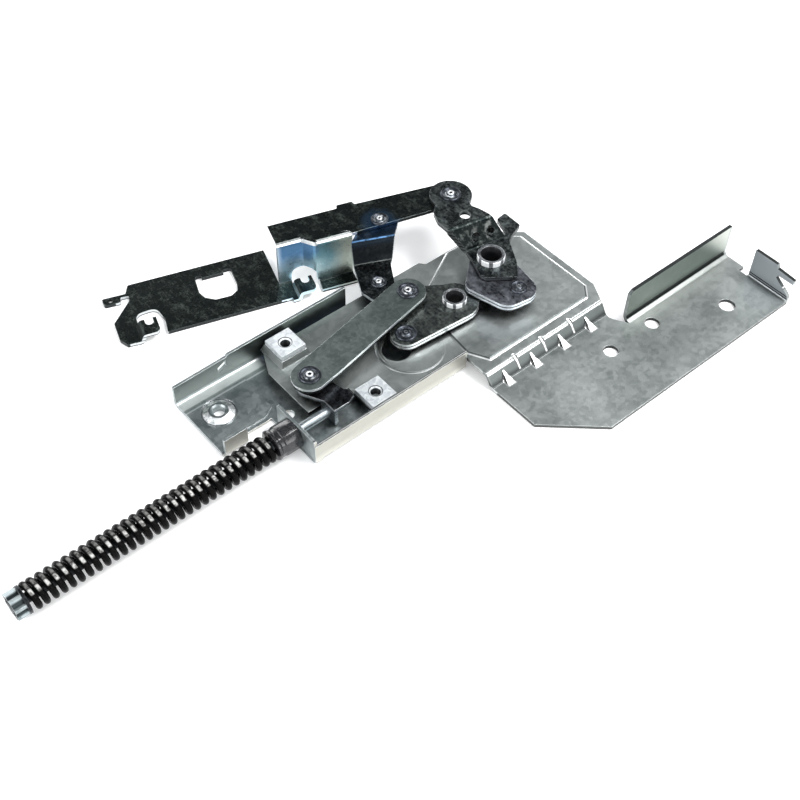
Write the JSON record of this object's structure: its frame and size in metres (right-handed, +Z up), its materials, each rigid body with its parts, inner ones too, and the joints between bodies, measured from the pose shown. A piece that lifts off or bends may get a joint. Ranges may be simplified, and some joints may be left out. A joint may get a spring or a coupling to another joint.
{
  "type": "dishwasher door hinge",
  "caption": "Sprung dishwasher door hinge: pressed base plate with side channel, riveted lever linkage, swinging door arm and pull rod with compression spring.",
  "frame": {"origin": "on the axis of the drawn fixing collar, at the underside of the channel floor", "axes": "+X along the channel and the pull rod towards the wing, +Y towards the door arm, +Z up out of the channel floor; the part lies on its flat side"},
  "size_m": [0.412, 0.2319, 0.0342],
  "materials": {
    "channel_steel": "galvanised sheet, light grey, cream outer flange",
    "plate_steel": "galvanised sheet, light grey",
    "nut_zinc": "bright zinc",
    "eyelet_steel": "dark drawn steel with a bright lip",
    "rivet_steel": "dark steel heads with a bright dome",
    "sleeve_plastic": "dark grey moulded plastic",
    "spring_steel": "gloss black coated wire",
    "lever_steel": "dark mottled passivated zinc",
    "foot_steel": "violet grey hardened steel",
    "arm_steel": "near-black mottled passivated zinc, bright blue web",
    "guide_steel": "dark passivated zinc",
    "rocker_steel": "dark mottled passivated zinc",
    "tie_steel": "mid grey steel",
    "rod_steel": "bright steel",
    "hook_steel": "dark blackened steel"
  },
  "bodies": {
    "base": {"side_channel": "channel_steel", "hinge_plate": "plate_steel", "rear_nut": "nut_zinc", "front_nut": "nut_zinc", "lever_eyelet": "eyelet_steel", "rocker_eyelet": "eyelet_steel", "guide_pivot_rivet": "rivet_steel", "spring_sleeve": "sleeve_plastic", "compression_spring": "spring_steel"},
    "lever": {"main_lever": "lever_steel", "lever_foot_upper": "foot_steel", "lever_foot_lower": "foot_steel", "foot_rivet": "rivet_steel", "arm_pivot_rivet": "rivet_steel"},
    "arm": {"door_arm": "arm_steel", "guide_link_rivet": "rivet_steel"},
    "guide": {"guide_link": "guide_steel"},
    "rocker": {"rocker_upper": "rocker_steel", "rocker_lower": "rocker_steel", "rocker_rivet": "rivet_steel"},
    "tie": {"tie_link": "tie_steel", "rocker_link_rivet": "rivet_steel"},
    "pull": {"pull_rod": "rod_steel", "rod_hook": "hook_steel", "rod_link_rivet": "rivet_steel", "spring_washer": "rod_steel", "rod_end_nut": "rod_steel"}
  },
  "joints": [
    {"name": "lever_turn", "type": "hinge", "parent": "base", "child": "lever", "pos_m": [0.162, -0.018, 0.02], "axis": [0, 0, 1], "range_deg": [0, 84]},
    {"name": "arm_turn", "type": "hinge", "parent": "lever", "child": "arm", "pos_m": [0.17047, 0.024, 0.029], "axis": [0, 0, 1], "range_deg": [-169.1, 0]},
    {"name": "guide_turn", "type": "hinge", "parent": "base", "child": "guide", "pos_m": [0.108, 0.009, 0.0158], "axis": [0, 0, 1], "range_deg": [0, 3.2]},
    {"name": "rocker_turn", "type": "hinge", "parent": "base", "child": "rocker", "pos_m": [0.1315, -0.024, 0.0125], "axis": [0, 0, 1], "range_deg": [-28.1, 0]},
    {"name": "rod_slide", "type": "slide", "parent": "base", "child": "pull", "axis": [1, 0, 0], "range_m": [0, 0.0114], "deforming": ["compression_spring"]},
    {"name": "link_turn", "type": "hinge", "parent": "pull", "child": "tie", "pos_m": [0.04, -0.0215, 0.0183], "axis": [0, 0, 1], "range_deg": [0, 5]}
  ],
  "couplings": [
    {"joint": "arm_turn", "follows": "lever_turn", "ratio": -2.0119},
    {"joint": "guide_turn", "follows": "lever_turn", "ratio": 0.0369},
    {"joint": "rocker_turn", "follows": "lever_turn", "ratio": -0.3333},
    {"joint": "rod_slide", "follows": "lever_turn", "m_per_rad": 0.007708},
    {"joint": "link_turn", "follows": "lever_turn", "ratio": 0.0587}
  ]
}
